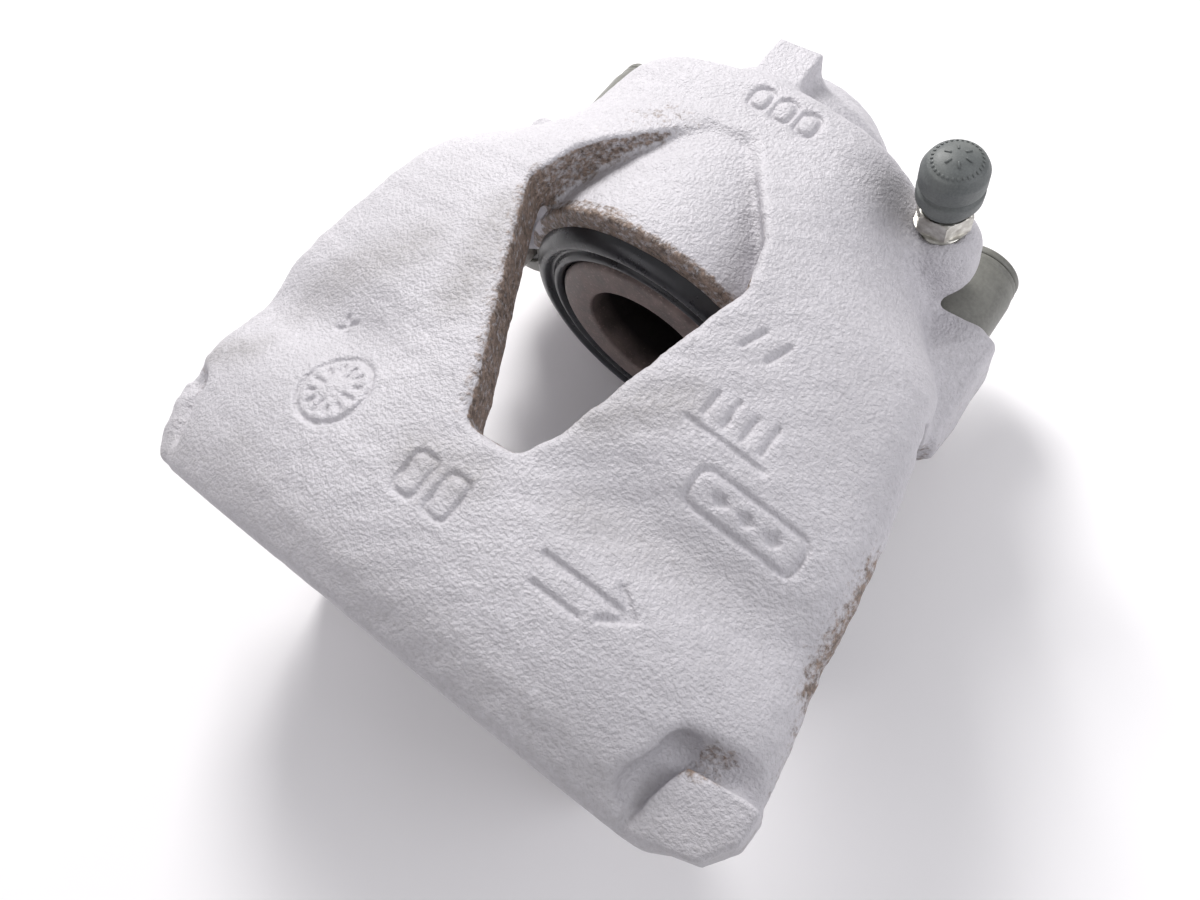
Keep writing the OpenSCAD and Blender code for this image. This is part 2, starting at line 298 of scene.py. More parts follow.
def foundry_marks(x, y):
    """Distance to the engraved marks: a plain dial, an arrow, blank plates and strokes."""
    dial_x, dial_y, dial_r = -29.4, -64.3, 8.3
    tail, head, low = 29.0, 48.0, -67.0
    strokes = [
        (tail, low, head - 2.0, low, 1.3), (head, low, head - 5.0, low + 3.6, 1.3),
        (head, low, head - 5.0, low - 3.6, 1.3), (tail + 1.0, low - 5.4, head - 8.0, low - 5.4, 0.9),
        (34.0, -30.8, 51.0, -30.8, 0.8), (-44.0, -52.0, -40.0, -49.0, 1.0),
        (-43.5, -48.5, -40.5, -52.5, 1.0), (6.9, 21.2, 6.9, 25.8, 0.9), (0.5, 4.6, 9.0, 4.6, 0.8)]
    for i in range(12):
        a = 2 * math.pi * i / 12
        outer, inner = dial_r * 0.74, dial_r * (0.55 if i % 3 else 0.38)
        strokes.append((dial_x + outer * math.cos(a), dial_y + outer * math.sin(a),
                        dial_x + inner * math.cos(a), dial_y + inner * math.sin(a), 0.9))
    for i in range(4):
        strokes.append((36.0 + 4.2 * i, -28.2, 36.0 + 4.2 * i, -23.4 + (i % 2), 1.1))
    for i in range(2):
        strokes.append((34.0 + 5.5 * i, -12.5, 36.0 + 5.5 * i, -7.5, 1.1))
    plate_x, plate_y = 53.2, -40.0
    plates = [(plate_x, plate_y, 23.0, 7.6, 2.2, 1.1),
              (-0.5, -69.3, 5.2, 9.0, 1.6, 1.1), (7.7, -69.3, 5.2, 9.0, 1.6, 1.1)]
    best = np.abs(np.sqrt((x - dial_x) ** 2 + (y - dial_y) ** 2) - dial_r) - 0.55
    for stroke in strokes:
        best = np.minimum(best, bar(x, y, *stroke))
    for plate in plates:
        best = np.minimum(best, frame_line(x, y, *plate))
    for pip_x in (plate_x - 5.6, plate_x, plate_x + 5.6):
        best = np.minimum(best, np.abs(x - pip_x) * 0.8 + np.abs(y - plate_y) - 1.5)
    return best


def rear_marks(x, y):
    """Distance to three small blank frames behind the sunken floor."""
    best = None
    for i in range(3):
        ring = frame_line(x, y, 1.0 + 6.3 * i, 43.8 - 0.6 * i, 4.6, 6.2, 2.0, 1.0)
        best = ring if best is None else np.minimum(best, ring)
    return best


def sand(x, y, z, size, seed):
    """A smooth uneven field, mostly within +-1, with bumps of that size."""
    rng = np.random.default_rng(seed)
    total = 0.0
    for _ in range(5):
        direction = rng.normal(size=3)
        direction = direction / np.linalg.norm(direction) * (2 * math.pi / size) * rng.uniform(0.7, 1.4)
        total = total + np.sin(x * direction[0] + y * direction[1] + z * direction[2] + rng.uniform(0, 6.28))
    return total / 3.0


def bridge_field(x, y, z):
    s = sizes()
    plan = x[:, :, 0:1], y[:, :, 0:1]
    marks = np.minimum(foundry_marks(*plan), 1.0)
    top = top_height(*plan) - s.mark_depth * (1.0 - ease((marks + 0.45) / 0.9))
    outline = polygon_distance(plan[0], plan[1], plan_outline())
    steep = 0.93
    shell = smooth_max((z - top) * steep, (bottom_height(*plan) - z) * steep, 2.0)
    body = smooth_max(shell, outline - 0.9, s.rim_round) + 0.6
    return smooth_max(body, -kite(*plan), 2.4)


def finger_field(x, y, z):
    """The plate behind the outboard edge with the two fingers."""
    half = [(52.0, -BARREL_R), (64.0, -4.0), (74.0, 18.0), (76.0, 40.0)]
    profile = polygon_distance(x, z, half + [(-px, pz) for px, pz in reversed(half)])
    top = z - (arch(x) - 9.0)
    faces = np.abs(y - (FRONT + FINGER_T / 2 + 0.3)) - FINGER_T / 2 + 0.3
    plate = smooth_max(smooth_max(profile + 3.0, top, 5.0), faces, 5.0)
    notch_top, notch_half = 14.0, 19.0
    notch = np.minimum(bar(x, z, 0.0, notch_top - notch_half, 0.0, -BARREL_R - 30.0, 2 * notch_half),
                       polygon_distance(x, z, [(notch_half, -5.0), (notch_half + 4.0, -60.0),
                                               (-notch_half - 4.0, -60.0), (-notch_half, -5.0)]))
    return smooth_max(plate, -notch, 4.0)


def revolved(profile, rounding, x, y, z):
    """Distance to a profile of (radius, y) points turned about the Y axis, its corners rounded outwards."""
    r = np.sqrt(x * x + z * z)
    outline = [(max(pr - rounding, 0.0), py) for pr, py in profile]
    return polygon_distance(r, y, outline) - rounding


def barrel_field(x, y, z):
    tail = 6.0
    body = revolved([(0.0, -20.0), (BARREL_R - 0.1, -20.0), (BARREL_R - 0.1, 16.0), (BARREL_R - 3.4, 40.0),
                     (30.0, 58.0), (21.0, BACK - 1.5 - tail), (0.0, BACK - 0.3 - tail)], tail, x, y, z)
    body = smooth_max(body, -y, 0.8)
    crown = revolved([(0.0, -20.0), (37.2, -20.0), (36.6, 4.0), (33.4, 34.0), (28.0, 50.0), (0.0, 52.0)],
                     2.0, x, y, z - 4.6)
    crown = smooth_max(np.maximum(crown, 12.0 - z), -1.6 - y, 1.2)
    return smooth_min(body, crown, 3.0)


def arm_field(x, y, z):
    side = np.abs(x)
    shoulder = rod((50.0, 8.0, 12.0), (28.0, 37.0, 12.0), 12.0, 9.0, side, y, z)
    brace = rod((44.0, 14.0, 4.0), (20.0, 44.0, 6.0), 10.0, 9.0, side, y, z)
    return smooth_min(shoulder, brace, 8.0)


def ear_field(x, y, z):
    side = np.abs(x)
    tube = drum(14.4, 10.2, 35.8, side - GUIDE_X, y, z - GUIDE_Z, 1.2)
    facet = block((38.0, 10.6, GUIDE_Z - 4.0), (68.6, 35.6, 8.0), side, y, z, 1.0)
    slope = (side - 66.5) * 0.60 + (z - 4.0) * 0.75 + (27.0 - y) * 0.20
    facet = smooth_max(facet, slope, 1.6)
    lip = rod((62.5, 11.5, -11.0), (65.0, 20.0, -9.0), 3.4, 3.8, side, y, z)
    return smooth_min(smooth_min(tube, facet, 2.0), lip, 2.5)


def bleed_boss_field(x, y, z):
    boss = rod((BLEED_X, BLEED_Y, 13.5), (BLEED_X, BLEED_Y, 16.5), 9.8, 9.5, x, y, z)
    boss = smooth_max(boss, z - 25.0, 2.5)
    saddle = rod((BLEED_X - 4.0, BLEED_Y - 1.0, 11.0), (28.0, 36.0, 20.0), 7.0, 12.0, x, y, z)
    return smooth_min(boss, saddle, 5.0)


def pad_field(x, y, z):
    """The raised square datum pad on the closed end."""
    pad = block((-8.0, 51.5, 20.0), (4.0, 65.0, 34.3), x, y, z, 0.8)
    foot = rod((-2.0, 42.0, 22.0), (-2.0, 57.0, 22.0), 10.0, 8.0, x, y, z)
    return smooth_min(pad, foot, 3.0)


def corner_field(x, y, z):
    """At the outboard corners: the scoop that is cut away, and the flat wedge that stands in it."""
    side = np.abs(x)
    path = [(64.2, -88.5), (66.8, -79.8), (79.0, -77.6), (90.0, -77.6)]
    groove = None
    for (ax, ay), (bx, by) in zip(path, path[1:]):
        part = rod((ax, ay, 29.0), (bx, by, 27.5), 4.4, 4.4, side, y, z)
        groove = part if groove is None else np.minimum(groove, part)
    above = smooth_max(polygon_distance(side, y, path + [(90.0, -104.0), (64.2, -104.0)]), 25.0 - z, 1.0)
    scoop = smooth_min(groove, above, 2.0)
    plan = polygon_distance(side, y, [
        (66.6, -104.0), (66.6, -88.8), (69.0, -81.6), (79.2, -80.2), (90.0, -80.2), (90.0, -104.0)]) - 1.0
    outline = polygon_distance(x, y, plan_outline()) - 0.2
    facet = (z - np.where(x > 0.0, 28.2, 23.5) + 0.10 * (side - 68.0) - 0.24 * (y + 81.0)) * 0.96
    wedge = smooth_max(smooth_max(plan, facet, 0.8), smooth_max(outline, 4.0 - z, 3.0), 1.2)
    return scoop, wedge


def bores_field(x, y, z):
    """The cylinder with its grooves, the seats of the bushes, the hose port and the bleed hole."""
    guide = np.abs(x) - GUIDE_X, z - GUIDE_Z
    bores = [
        (PISTON_R + 0.05, -20.0, BACK - 21.0, x, z), (PISTON_R + 3.0, 9.0, 12.4, x, z),
        (34.0, -20.0, 4.0, x, z), (11.0, 8.0, 38.0, *guide), (13.4, 36.0, BACK, *guide),
        (4.5, BACK - 13.0, BACK + 5.0, x + 12.0, z + 10.0)]
    cuts = np.maximum(np.sqrt((x - BLEED_X) ** 2 + (y - BLEED_Y) ** 2) - 5.0, 9.0 - z)
    for r, low, high, across, up in bores:
        cuts = np.minimum(cuts, drum(r, low, high, across, y, up))
    return cuts


def casting_field(x, y, z):
    s = sizes()
    body = bridge_field(x, y, z)
    body = smooth_min(body, finger_field(x, y, z), s.blend)
    arms = smooth_min(arm_field(x, y, z), bleed_boss_field(x, y, z), s.blend * 0.7)
    body = smooth_min(body, arms, s.blend)
    body = smooth_min(body, ear_field(x, y, z), 2.5)
    barrel = barrel_field(x, y, z)
    body = smooth_min(body, barrel, 2.6)
    body = smooth_min(body, pad_field(x, y, z), 2.5)
    scoop, wedge = corner_field(x, y, z)
    cut = smooth_max(body, -scoop, 2.5)
    body = smooth_min(cut, wedge, 1.2)
    rear = rear_marks(x[:, :, 0:1], y[:, :, 0:1])
    body = body + s.mark_depth * (1.0 - ease((rear + 0.45) / 0.9)) * (z > 20.0)
    body = body + 0.10 * sand(x, y, z, 7.0, 3) + 0.05 * sand(x, y, z, 2.6, 4)
    body = smooth_max(body, -bores_field(x, y, z), 0.7)
    for value, low, high in ((x, -HALF_W, HALF_W), (y, FRONT, BACK), (z, -BARREL_R, CROWN)):
        body = np.maximum(body, np.maximum(low + 0.05 - value, value - high + 0.05))
    return body


def casting_mesh():
    """The casting's surface, drawn out of its distance field."""
    step = sizes().voxel * 1.0
    low = np.array([-HALF_W, FRONT, -BARREL_R]) - FIELD_MARGIN
    high = np.array([HALF_W, BACK, CROWN]) + FIELD_MARGIN
    counts = np.ceil((high - low) / step).astype(int) + 1
    axes = [(low[i] + step * np.arange(counts[i])).astype(np.float32) for i in range(3)]
    x, y, z = np.meshgrid(*axes, indexing="ij", sparse=True)
    band = 3 * step
    field = np.clip(casting_field(x, y, z), -band, band).astype(np.float32)
    grid = openvdb.FloatGrid(band)
    grid.copyFromArray(np.ascontiguousarray(field))
    points, triangles, quads = grid.convertToPolygons(isovalue=0.0, adaptivity=0.0)
    points = (points * step + low + ORIGIN) * MM
    mesh = bpy.data.meshes.new("casting")
    faces = [tuple(int(i) for i in f[::-1]) for group in (quads, triangles) for f in group]
    mesh.from_pydata([tuple(p) for p in points], [], faces)
    mesh.update()
    return mesh


# ---------------------------------------------------------------- turned pieces

def rounded(profile, radius, steps, closed):
    """The profile with every corner replaced by a small arc."""
    points = [np.array(p, float) for p in profile]
    result = []
    count = len(points)
    for i, p in enumerate(points):
        if not closed and i in (0, count - 1):
            result.append(tuple(p))
            continue
        before, after = points[i - 1] - p, points[(i + 1) % count] - p
        reach = min(radius, np.linalg.norm(before) * 0.45, np.linalg.norm(after) * 0.45)
        a = p + before / np.linalg.norm(before) * reach
        b = p + after / np.linalg.norm(after) * reach
        for k in range(steps + 1):
            t = k / steps
            result.append(tuple((1 - t) ** 2 * a + 2 * t * (1 - t) * p + t * t * b))
    return result


def placed(name, data):
    """An object with that data, linked into the scene."""
    item = bpy.data.objects.new(name, data)
    bpy.context.scene.collection.objects.link(item)
    return item


def hexagon(flats, angle):
    """Radius of a hexagon of that width across its flats."""
    return flats / 2 / math.cos((angle % (math.pi / 3)) - math.pi / 6)


def finish_mesh(name, mesh, material, smooth_angle=35.0):
    """Cleans a mesh, points its faces outwards, shades it and makes its object."""
    bm = bmesh.new()
    bm.from_mesh(mesh)
    bmesh.ops.remove_doubles(bm, verts=bm.verts, dist=2e-6)
    bmesh.ops.recalc_face_normals(bm, faces=bm.faces)
    bm.to_mesh(mesh)
    bm.free()
    mesh.shade_smooth()
    mesh.set_sharp_from_angle(angle=math.radians(smooth_angle))
    mesh.materials.clear()
    mesh.materials.append(material)
    return placed(name, mesh)


def turned_mesh(name, profile, axis, centre, closed, segments, shape):
    """A profile of (radius, height) turned about an axis, in millimetres from the caliper's origin."""
    vertices, faces = [], []
    count = len(profile)
    for i in range(segments):
        angle = 2 * math.pi * i / segments
        for r, h in profile:
            if shape:
                r = shape(r, h, angle)
            u, v = r * math.cos(angle), r * math.sin(angle)
            local = (centre[0] + u, h, centre[2] + v) if axis == "Y" else (centre[0] + u, centre[1] + v, h)
            vertices.append(tuple((np.array(local) + ORIGIN) * MM))
    last = count if closed else count - 1
    for i in range(segments):
        j = (i + 1) % segments
        for k in range(last):
            m = (k + 1) % count
            faces.append((i * count + k, i * count + m, j * count + m, j * count + k))
    mesh = bpy.data.meshes.new(name)
    mesh.from_pydata(vertices, [], faces)
    mesh.update()
    return mesh


def turned(name, profile, axis, centre, material, closed=True, edge=0.25, segments=96, shape=None, steps=3):
    outline = rounded(profile, edge, steps, closed)
    return finish_mesh(name, turned_mesh(name, outline, axis, centre, closed, segments, shape), material)


def joined(name, pieces):
    """One mesh object from several."""
    bm = bmesh.new()
    for piece in pieces:
        bm.from_mesh(piece.data)
    mesh = bpy.data.meshes.new(name)
    bm.to_mesh(mesh)
    bm.free()
    for material in pieces[0].data.materials:
        mesh.materials.append(material)
    for piece in pieces:
        old = piece.data
        bpy.data.objects.remove(piece)
        bpy.data.meshes.remove(old)
    return placed(name, mesh)


def threaded_profile(r_root, r_crest, low, high, pitch):
    """Ring points of a thread seen in section, from low to high."""
    points = []
    count = int((high - low) / pitch)
    for i in range(count):
        h = low + i * pitch
        points += [(r_root, h + 0.10 * pitch), (r_crest, h + 0.45 * pitch), (r_crest, h + 0.60 * pitch),
                   (r_root, h + 0.95 * pitch)]
    return points


# ---------------------------------------------------------------- repeats by geometry nodes

RING_INPUTS = ("Count", "Radius", "Stud length", "Stud width", "Stud height")


def ring_tree(name, material):
    """Studs spaced round a ring, each turned along it: inputs are their number, the ring's radius and the
    studs' size.
    """
    tree = bpy.data.node_groups.new(name, "GeometryNodeTree")
    tree.interface.new_socket("Geometry", in_out="OUTPUT", socket_type="NodeSocketGeometry")
    sockets = {}
    for label in RING_INPUTS:
        kind = "NodeSocketInt" if label == "Count" else "NodeSocketFloat"
        sockets[label] = tree.interface.new_socket(label, in_out="INPUT", socket_type=kind)
    nodes, link = tree.nodes, tree.links.new
    start = nodes.new("NodeGroupInput")
    end = nodes.new("NodeGroupOutput")
    circle = nodes.new("GeometryNodeCurvePrimitiveCircle")
    link(start.outputs["Count"], circle.inputs["Resolution"])
    link(start.outputs["Radius"], circle.inputs["Radius"])
    points = nodes.new("GeometryNodeCurveToPoints")
    points.mode = "EVALUATED"
    link(circle.outputs["Curve"], points.inputs["Curve"])
    stud = nodes.new("GeometryNodeMeshCube")
    size = nodes.new("ShaderNodeCombineXYZ")
    for label, axis in (("Stud width", "X"), ("Stud height", "Y"), ("Stud length", "Z")):
        link(start.outputs[label], size.inputs[axis])
    link(size.outputs[0], stud.inputs["Size"])
    for axis in ("Vertices X", "Vertices Y", "Vertices Z"):
        stud.inputs[axis].default_value = 3
    soft = nodes.new("GeometryNodeSubdivisionSurface")
    soft.inputs["Level"].default_value = 1
    link(stud.outputs["Mesh"], soft.inputs["Mesh"])
    place = nodes.new("GeometryNodeInstanceOnPoints")
    link(points.outputs["Points"], place.inputs["Points"])
    link(soft.outputs["Mesh"], place.inputs["Instance"])
    link(points.outputs["Rotation"], place.inputs["Rotation"])
    real = nodes.new("GeometryNodeRealizeInstances")
    link(place.outputs["Instances"], real.inputs["Geometry"])
    paint = nodes.new("GeometryNodeSetMaterial")
    paint.inputs["Material"].default_value = material
    link(real.outputs["Geometry"], paint.inputs["Geometry"])
    link(paint.outputs["Geometry"], end.inputs[0])
    return tree, {label: socket.identifier for label, socket in sockets.items()}


def stud_ring(name, material, count, radius, length, width, height, place):
    """A plain mesh of studs round a ring, moved by place, a function of one point in millimetres."""
    tree, ids = ring_tree(name + "_nodes", material)
    holder = placed(name + "_holder", bpy.data.meshes.new(name + "_holder"))
    modifier = holder.modifiers.new("ring", "NODES")
    modifier.node_group = tree
    for label, value in zip(RING_INPUTS, (count, radius, length, width, height)):
        modifier[ids[label]] = value
    bpy.context.view_layer.update()
    evaluated = holder.evaluated_get(bpy.context.evaluated_depsgraph_get())
    mesh = bpy.data.meshes.new_from_object(evaluated)
    for vertex in mesh.vertices:
        vertex.co = Vector((np.array(place(vertex.co)) + ORIGIN) * MM)
    old = holder.data
    bpy.data.objects.remove(holder)
    bpy.data.meshes.remove(old)
    return finish_mesh(name, mesh, material, 50.0)


# ---------------------------------------------------------------- materials

class Finish:
    """A node material with its shader and the point that each pattern reads."""

    def __init__(self, name):
        self.material = bpy.data.materials.new(name)
        self.material.use_nodes = True
        self.nodes = self.material.node_tree.nodes
        self.link = self.material.node_tree.links.new
        self.shader = self.nodes["Principled BSDF"]
        self.where = self.nodes.new("ShaderNodeTexCoord").outputs["Object"]

    def plug(self, value, socket):
        """Gives a socket a number, a colour or the output of a node."""
        if isinstance(value, bpy.types.NodeSocket):
            self.link(value, socket)
        elif isinstance(value, (int, float)):
            socket.default_value = value
        else:
            socket.default_value = (*value[:3], 1.0)

    def give(self, name, value):
        """Gives one of the shader's inputs its value."""
        self.plug(value, self.shader.inputs[name])

    def mask(self, name):
        """The value stored at each vertex under that name."""
        node = self.nodes.new("ShaderNodeAttribute")
        node.attribute_name = name
        return node.outputs["Fac"]

    def noise(self, size_mm, detail=3.0, rough=0.55):
        """A noise whose grains are about size_mm across."""
        node = self.nodes.new("ShaderNodeTexNoise")
        for socket, number in (("Scale", 1000.0 / size_mm), ("Detail", detail), ("Roughness", rough)):
            node.inputs[socket].default_value = number
        self.link(self.where, node.inputs["Vector"])
        return node.outputs["Fac"]

    def ramp(self, value, low, high, to_low=0.0, to_high=1.0):
        """value mapped from low..high to to_low..to_high, held at the ends."""
        node = self.nodes.new("ShaderNodeMapRange")
        limits = {"From Min": low, "From Max": high, "To Min": to_low, "To Max": to_high}
        for socket, number in limits.items():
            node.inputs[socket].default_value = number
        self.link(value, node.inputs["Value"])
        return node.outputs["Result"]

    def maths(self, operation, a, b):
        """a and b added, or multiplied and clamped."""
        node = self.nodes.new("ShaderNodeMath")
        node.operation = operation
        node.use_clamp = operation == "MULTIPLY"
        self.plug(a, node.inputs[0])
        self.plug(b, node.inputs[1])
        return node.outputs[0]

    def mixed(self, factor, a, b):
        """A colour mixed by factor from a to b; either may be a colour or a socket."""
        node = self.nodes.new("ShaderNodeMix")
        node.data_type = "RGBA"
        self.link(factor, node.inputs["Factor"])
        self.plug(a, node.inputs[6])    # the colour pair among the node's sockets
        self.plug(b, node.inputs[7])
        return node.outputs[2]

    def bumped(self, layers):
        """Bump layers as (height socket, depth in millimetres), the last one nearest the shader."""
        normal = None
        for height, depth in layers:
            node = self.nodes.new("ShaderNodeBump")
            node.inputs["Strength"].default_value = 1.0
            node.inputs["Distance"].default_value = depth * MM
            self.link(height, node.inputs["Height"])
            if normal is not None:
                self.link(normal, node.inputs["Normal"])
            normal = node.outputs["Normal"]
        self.give("Normal", normal)


def shade(colour, factor):
    return tuple(min(1.0, c * factor) for c in colour[:3])


def cast_paint():
    """Silver-white sprayed coat over sand-cast iron, with brown grime and painted shade in its hollows and
    under its overhangs, and grey stains with painted shade along the outboard edge.
    """
    c, f = colours(), Finish("cast_paint")
    cloud = f.noise(26.0, 4.0)
    fine = f.noise(1.3, 4.0, 0.7)
    speckle = f.ramp(f.noise(1.5, 5.0, 0.75), 0.32, 0.68, 0.15, 0.85)
    paint = f.mixed(f.ramp(cloud, 0.35, 0.7), shade(c.paint, 1.06), shade(c.paint, 0.9))
    paint = f.mixed(f.ramp(fine, 0.30, 0.72), shade(c.paint, 0.80), paint)
    # grey stains, with painted shade along the outboard edge
    paint = f.mixed(f.maths("MULTIPLY", f.mask("wash_and_painted_shade"), speckle), paint, (0.27, 0.255, 0.25))
    # brown where grime and painted shade lie
    grime_and_shade_cover = f.ramp(f.maths("ADD", f.mask("grime_and_painted_shade"), speckle), 0.80, 1.22)
    brown = f.mixed(f.ramp(fine, 0.35, 0.65), shade(c.grime_and_painted_shade, 0.55), shade(c.grime_and_painted_shade, 1.9))
    f.give("Base Color", f.mixed(grime_and_shade_cover, paint, brown))
    f.give("Metallic", 0.12)
    f.give("Roughness", f.ramp(fine, 0.3, 0.7, 0.46, 0.66))
    f.give("Specular IOR Level", 0.42)
    grit = f.noise(0.75, 2.5, 0.6)
    coarse = f.noise(3.0, 2.0, 0.5)
    f.bumped([(coarse, 0.16), (grit, 0.50)])
    return f.material


def piston_steel():
    """Dull brown-grey steel with baked-on dust, and painted shade that turns it dark down inside the cup."""
    c, f = colours(), Finish("piston_steel")
    cloud = f.noise(6.0, 4.0)
    fine = f.noise(0.9, 4.0, 0.7)
    tone = f.mixed(f.ramp(cloud, 0.35, 0.65), shade(c.steel, 0.75), shade(c.steel, 1.45))
    tone = f.mixed(f.ramp(fine, 0.56, 0.75), tone, shade(c.steel, 2.4))
    split = f.nodes.new("ShaderNodeSeparateXYZ")
    f.link(f.where, split.inputs[0])
    # painted shade: the colour runs to near black down inside the cup
    rim = SEAT_Y - FACE_PROUD
    depth = f.ramp(split.outputs["Y"], (rim + 1.0) * MM, (rim + 7.0) * MM)
    f.give("Base Color", f.mixed(depth, tone, shade(c.steel, 0.08)))
    f.give("Metallic", 0.35)
    f.give("Roughness", f.ramp(cloud, 0.3, 0.7, 0.42, 0.68))
    f.bumped([(cloud, 0.15), (fine, 0.10)])
    return f.material


def zinc_steel():
    """Zinc-plated steel with faint wear."""
    f = Finish("zinc_steel")
    cloud = f.noise(3.0, 4.0)
    f.give("Base Color", f.mixed(f.ramp(cloud, 0.4, 0.68), (0.62, 0.61, 0.57), (0.30, 0.28, 0.25)))
    f.give("Metallic", 1.0)
    f.give("Roughness", f.ramp(cloud, 0.3, 0.7, 0.24, 0.48))
    f.bumped([(f.noise(0.5, 3.0), 0.04)])
    return f.material


def rubber_finish(name, colour, dust, roughness, grain_mm, depth):
    """Moulded rubber or plastic with a veil of dust."""
    f = Finish(name)
    cloud = f.noise(7.0, 4.0)
    fine = f.noise(grain_mm, 3.0, 0.6)
    tone = f.mixed(f.ramp(fine, 0.35, 0.7), shade(colour, 0.86), shade(colour, 1.16))
    f.give("Base Color", f.mixed(f.ramp(cloud, 0.42, 0.75, 0.0, 0.5), tone, dust))
    f.give("Roughness", f.ramp(cloud, 0.35, 0.7, roughness - 0.06, roughness + 0.12))
    f.give("Specular IOR Level", 0.5)
    f.bumped([(cloud, 0.08), (fine, depth)])
    return f.material


# ---------------------------------------------------------------- casting finish

def near_line(p, a, b, reach):
    """1 on the segment a to b, falling to 0 at reach."""
    a, b = np.array(a, float), np.array(b, float)
    along = np.clip(((p - a) @ (b - a)) / ((b - a) @ (b - a)), 0.0, 1.0)
    distance = np.linalg.norm(p - a - along[:, None] * (b - a), axis=1)
    return ease(1.0 - distance / reach)


def dirt_masks(mesh):
    """Stores, as two vertex attributes, where brown grime mixed with painted shade lies, and where grey
    overspray wash lies, with painted shade along the outboard edge.
    """
    count = len(mesh.vertices)
    flat = np.zeros(count * 3, np.float32)
    mesh.vertices.foreach_get("co", flat)
    p = flat.reshape(-1, 3) / MM - ORIGIN
    mesh.vertices.foreach_get("normal", flat)
    up = flat.reshape(-1, 3)[:, 2]
    x, y, z = p[:, 0], p[:, 1], p[:, 2]
    opening = kite(x, y)
    on_wall = (opening < 2.6) & (opening > -1.5) & (up < 0.6) & (z > 20.0)
    face = ease((1.0 - y) / 1.5) * ease((y + 4.0) / 2.0) * ((opening < 0.5) | (z < 20.0))
    steep = ease((0.86 - up) / 0.3)
    # brown grime mixed with painted shade: these lines also darken the valley under the left arm's overhang,
    # the shadowed corner scoops and the hollow under the arm behind the ear
    grime_and_shade_lines = [
        ((-25, 12, 30), (-8, 31, 35), 6.0, 0.85), ((32, 4, 31), (13, 26, 34), 5.5, 0.35),
        ((79, -56, 20), (75, -32, 22), 9.0, 0.7), ((82, -84, 14), (80, -64, 18), 8.0, 0.5),
        ((67, -80, 27), (73, -77, 27), 5.5, 0.9), ((-67, -80, 27), (-73, -77, 27), 4.5, 0.7),
        ((44, 40, 6), (36, 38, 6), 9.0, 0.6)]
    parts = [near_line(p, a, b, reach) * strength for a, b, reach, strength in grime_and_shade_lines]
    parts += [
        # painted shade under the left arm's overhang, stronger on steeper faces
        near_line(p, (-34, 4, 32), (-13, 28, 34), 11.5) * (0.6 + 0.4 * steep),
        # window walls: brown grime with painted shade, stronger on the left wall and on steep faces
        on_wall * np.where(x < 0.0, 0.75, 0.55) * (y < 1.0),
        on_wall * np.where(x < 0.0, 0.62, 0.2) * (y >= 1.0) * (np.abs(x) > 6.0) * steep,
        ease(1.0 - opening / 5.0) * (x < -2.0) * (y < 2.0) * 0.5,
        face * 0.72,
        # painted shade: darker towards the bottom and on faces that look down
        ease((12.0 - z) / 20.0) * 0.45 * ease((0.35 - up) / 0.6),
    ]
    grime_and_painted_shade = np.clip(np.max(parts, axis=0), 0.0, 1.0)
    # grey stains; the last line runs along the outboard edge and paints shade there
    wash_and_shade_lines = [
        ((-20, -34, 42), (-26, -12, 41), 10.0, 0.95), ((-60, -50, 36), (-40, -28, 40), 12.0, 0.7),
        ((-3, -66, 44), (8, -64, 44), 9.0, 0.7), ((20, -42, 44), (32, -28, 43), 8.0, 0.75),
        ((-70, -72, 30), (-58, -66, 34), 8.0, 0.7), ((30, -56, 42), (74, -50, 34), 9.0, 0.5),
        ((-40, -84, 36), (30, -88, 36), 8.0, 0.5)]
    stains = [near_line(p, a, b, reach) * strength for a, b, reach, strength in wash_and_shade_lines]
    # painted shade: greyer towards the outboard edge, where the rim rolls over
    stains.append(ease((-80.0 - y) / 12.0) * 0.4)
    wash_and_painted_shade = np.clip(np.max(stains, axis=0), 0.0, 1.0)
    for name, values in (("grime_and_painted_shade", grime_and_painted_shade), ("wash_and_painted_shade", wash_and_painted_shade)):
        layer = mesh.attributes.new(name, "FLOAT", "POINT")
        layer.data.foreach_set("value", values.astype(np.float32))


def outward(mesh):
    """Points every face of a closed mesh outwards."""
    bm = bmesh.new()
    bm.from_mesh(mesh)
    bmesh.ops.recalc_face_normals(bm, faces=bm.faces)
    if bm.calc_volume(signed=True) < 0.0:
        bmesh.ops.reverse_faces(bm, faces=bm.faces)
    bm.to_mesh(mesh)
    bm.free()


def thinned(piece, most):
    """The piece with at most that many triangles."""
    count = sum(len(p.vertices) - 2 for p in piece.data.polygons)
    if count <= most:
        return
    modifier = piece.modifiers.new("thin", "DECIMATE")
    modifier.ratio = most / count
    modifier.use_collapse_triangulate = True
    evaluated = piece.evaluated_get(bpy.context.evaluated_depsgraph_get())
    mesh = bpy.data.meshes.new_from_object(evaluated)
    old = piece.data
    piece.modifiers.clear()
    piece.data = mesh
    bpy.data.meshes.remove(old)


# ---------------------------------------------------------------- operators

class MakeCasting(bpy.types.Operator):
    """Make the cast housing with its bridge, fingers, arms, ears and barrel"""

    bl_idname = "caliper.make_casting"
    bl_label = "Casting"

    def execute(self, context):
        piece = placed("cast_housing", casting_mesh())
        context.view_layer.update()
        thinned(piece, sizes().triangles)
        piece.data.name = "cast_housing"
        outward(piece.data)
        piece.data.shade_smooth()
        piece.data.set_sharp_from_angle(angle=math.radians(60.0))
        dirt_masks(piece.data)
        piece.data.materials.clear()
        piece.data.materials.append(cast_paint())
        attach(piece, "casting")
        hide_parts("housing")
        return {"FINISHED"}


